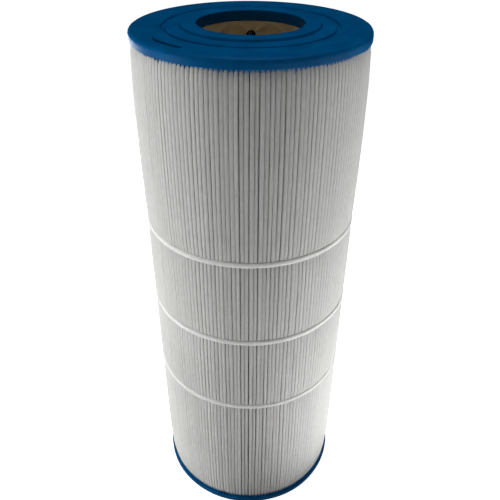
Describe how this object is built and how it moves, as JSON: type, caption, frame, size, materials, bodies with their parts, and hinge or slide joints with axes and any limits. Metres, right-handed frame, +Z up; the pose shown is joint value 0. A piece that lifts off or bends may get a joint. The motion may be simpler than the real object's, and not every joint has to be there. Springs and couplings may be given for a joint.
{
  "type": "pleated filter cartridge",
  "caption": "Tall round filter cartridge: pleated polyester round a perforated core, banded, with an open moulded urethane cap on each end.",
  "frame": {"origin": "centre of the bottom sealing face, where the cartridge stands", "axes": "+Z up along the cartridge's axis, -Y towards the viewer"},
  "size_m": [0.227, 0.227, 0.5905],
  "materials": {
    "urethane": "deep blue cast polyurethane, satin gloss",
    "core_resin": "tan moulded plastic, satin",
    "polyester": "white spunbonded polyester, matt, fibrous",
    "glue": "hot-melt glue, milky and smooth",
    "band_resin": "white plastic bead, satin"
  },
  "bodies": {
    "root": {"end_cap_top": "urethane", "end_cap_bottom": "urethane", "core_tube": "core_resin", "pleated_media": "polyester", "media_seam": "glue", "band_lower": "band_resin", "band_middle": "band_resin", "band_upper": "band_resin"}
  },
  "joints": []
}
